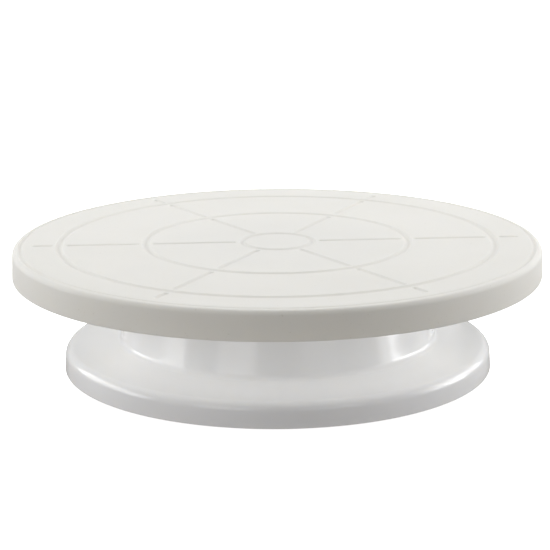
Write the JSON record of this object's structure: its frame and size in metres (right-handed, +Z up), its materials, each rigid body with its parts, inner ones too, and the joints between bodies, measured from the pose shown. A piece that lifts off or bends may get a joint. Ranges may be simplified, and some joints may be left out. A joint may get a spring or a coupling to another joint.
{
  "type": "cake turntable",
  "caption": "Round white plastic cake turntable: a grooved plate that turns on a caged ball race above a flared base with an anti-slip foot ring.",
  "frame": {"origin": "on the table, under the centre of the plate, at the underside of the foot ring", "axes": "+Z up along the spindle, the axis the plate turns about; +X and +Y lie in the table's plane, with one guide line 3.5 degrees from +X"},
  "size_m": [0.28, 0.28, 0.068],
  "materials": {
    "plate_plastic": "satin warm white, injection moulded, fine moulded texture",
    "base_plastic": "glossy cool white, injection moulded",
    "hub_plastic": "plain moulded white",
    "nylon": "natural nylon, slightly translucent",
    "bearing_polymer": "dark low-friction polymer",
    "spindle_steel": "turned steel",
    "race_steel": "pressed steel with a polished ball groove",
    "ball_steel": "polished bearing steel",
    "zinc_screw": "bright zinc plate",
    "spring_steel": "blackened spring steel",
    "foot_rubber": "pale grey rubber"
  },
  "bodies": {
    "stand": {"base_column": "base_plastic", "base_flange": "base_plastic", "base_tube": "base_plastic", "foot_ring": "foot_rubber", "lower_race": "race_steel", "upper_bush": "nylon", "lower_bush": "nylon", "thrust_washer": "bearing_polymer", "dust_cap": "hub_plastic"},
    "plate": {"plate_deck": "plate_plastic", "plate_skirt": "plate_plastic", "spindle_hub": "hub_plastic", "spindle": "spindle_steel", "upper_race": "race_steel", "hub_screws": "zinc_screw", "retaining_washer": "zinc_screw", "lock_washer": "spring_steel", "retaining_screw": "zinc_screw"},
    "cage": {"ball_cage": "nylon"},
    "ball_01": {"bearing_ball_01": "ball_steel"},
    "ball_02": {"bearing_ball_02": "ball_steel"},
    "ball_03": {"bearing_ball_03": "ball_steel"},
    "ball_04": {"bearing_ball_04": "ball_steel"},
    "ball_05": {"bearing_ball_05": "ball_steel"},
    "ball_06": {"bearing_ball_06": "ball_steel"},
    "ball_07": {"bearing_ball_07": "ball_steel"},
    "ball_08": {"bearing_ball_08": "ball_steel"},
    "ball_09": {"bearing_ball_09": "ball_steel"},
    "ball_10": {"bearing_ball_10": "ball_steel"},
    "ball_11": {"bearing_ball_11": "ball_steel"},
    "ball_12": {"bearing_ball_12": "ball_steel"},
    "ball_13": {"bearing_ball_13": "ball_steel"},
    "ball_14": {"bearing_ball_14": "ball_steel"},
    "ball_15": {"bearing_ball_15": "ball_steel"},
    "ball_16": {"bearing_ball_16": "ball_steel"}
  },
  "joints": [
    {"name": "plate_spin", "type": "hinge", "parent": "stand", "child": "plate", "pos_m": [0, 0, 0.056], "axis": [0, 0, 1], "continuous": true},
    {"name": "cage_spin", "type": "hinge", "parent": "stand", "child": "cage", "pos_m": [0, 0, 0.056], "axis": [0, 0, 1], "continuous": true},
    {"name": "ball_roll_01", "type": "hinge", "parent": "cage", "child": "ball_01", "pos_m": [0.048, 0, 0.056], "axis": [1, 0, 0], "continuous": true},
    {"name": "ball_roll_02", "type": "hinge", "parent": "cage", "child": "ball_02", "pos_m": [0.04435, 0.01837, 0.056], "axis": [0.9239, 0.3827, 0], "continuous": true},
    {"name": "ball_roll_03", "type": "hinge", "parent": "cage", "child": "ball_03", "pos_m": [0.03394, 0.03394, 0.056], "axis": [0.7071, 0.7071, 0], "continuous": true},
    {"name": "ball_roll_04", "type": "hinge", "parent": "cage", "child": "ball_04", "pos_m": [0.01837, 0.04435, 0.056], "axis": [0.3827, 0.9239, 0], "continuous": true},
    {"name": "ball_roll_05", "type": "hinge", "parent": "cage", "child": "ball_05", "pos_m": [0, 0.048, 0.056], "axis": [0, 1, 0], "continuous": true},
    {"name": "ball_roll_06", "type": "hinge", "parent": "cage", "child": "ball_06", "pos_m": [-0.01837, 0.04435, 0.056], "axis": [-0.3827, 0.9239, 0], "continuous": true},
    {"name": "ball_roll_07", "type": "hinge", "parent": "cage", "child": "ball_07", "pos_m": [-0.03394, 0.03394, 0.056], "axis": [-0.7071, 0.7071, 0], "continuous": true},
    {"name": "ball_roll_08", "type": "hinge", "parent": "cage", "child": "ball_08", "pos_m": [-0.04435, 0.01837, 0.056], "axis": [-0.9239, 0.3827, 0], "continuous": true},
    {"name": "ball_roll_09", "type": "hinge", "parent": "cage", "child": "ball_09", "pos_m": [-0.048, 0, 0.056], "axis": [-1, 0, 0], "continuous": true},
    {"name": "ball_roll_10", "type": "hinge", "parent": "cage", "child": "ball_10", "pos_m": [-0.04435, -0.01837, 0.056], "axis": [-0.9239, -0.3827, 0], "continuous": true},
    {"name": "ball_roll_11", "type": "hinge", "parent": "cage", "child": "ball_11", "pos_m": [-0.03394, -0.03394, 0.056], "axis": [-0.7071, -0.7071, 0], "continuous": true},
    {"name": "ball_roll_12", "type": "hinge", "parent": "cage", "child": "ball_12", "pos_m": [-0.01837, -0.04435, 0.056], "axis": [-0.3827, -0.9239, 0], "continuous": true},
    {"name": "ball_roll_13", "type": "hinge", "parent": "cage", "child": "ball_13", "pos_m": [0, -0.048, 0.056], "axis": [0, -1, 0], "continuous": true},
    {"name": "ball_roll_14", "type": "hinge", "parent": "cage", "child": "ball_14", "pos_m": [0.01837, -0.04435, 0.056], "axis": [0.3827, -0.9239, 0], "continuous": true},
    {"name": "ball_roll_15", "type": "hinge", "parent": "cage", "child": "ball_15", "pos_m": [0.03394, -0.03394, 0.056], "axis": [0.7071, -0.7071, 0], "continuous": true},
    {"name": "ball_roll_16", "type": "hinge", "parent": "cage", "child": "ball_16", "pos_m": [0.04435, -0.01837, 0.056], "axis": [0.9239, -0.3827, 0], "continuous": true}
  ],
  "couplings": [
    {"joint": "cage_spin", "follows": "plate_spin", "ratio": 0.5},
    {"joint": "ball_roll_01", "follows": "plate_spin", "ratio": -8},
    {"joint": "ball_roll_02", "follows": "plate_spin", "ratio": -8},
    {"joint": "ball_roll_03", "follows": "plate_spin", "ratio": -8},
    {"joint": "ball_roll_04", "follows": "plate_spin", "ratio": -8},
    {"joint": "ball_roll_05", "follows": "plate_spin", "ratio": -8},
    {"joint": "ball_roll_06", "follows": "plate_spin", "ratio": -8},
    {"joint": "ball_roll_07", "follows": "plate_spin", "ratio": -8},
    {"joint": "ball_roll_08", "follows": "plate_spin", "ratio": -8},
    {"joint": "ball_roll_09", "follows": "plate_spin", "ratio": -8},
    {"joint": "ball_roll_10", "follows": "plate_spin", "ratio": -8},
    {"joint": "ball_roll_11", "follows": "plate_spin", "ratio": -8},
    {"joint": "ball_roll_12", "follows": "plate_spin", "ratio": -8},
    {"joint": "ball_roll_13", "follows": "plate_spin", "ratio": -8},
    {"joint": "ball_roll_14", "follows": "plate_spin", "ratio": -8},
    {"joint": "ball_roll_15", "follows": "plate_spin", "ratio": -8},
    {"joint": "ball_roll_16", "follows": "plate_spin", "ratio": -8}
  ]
}
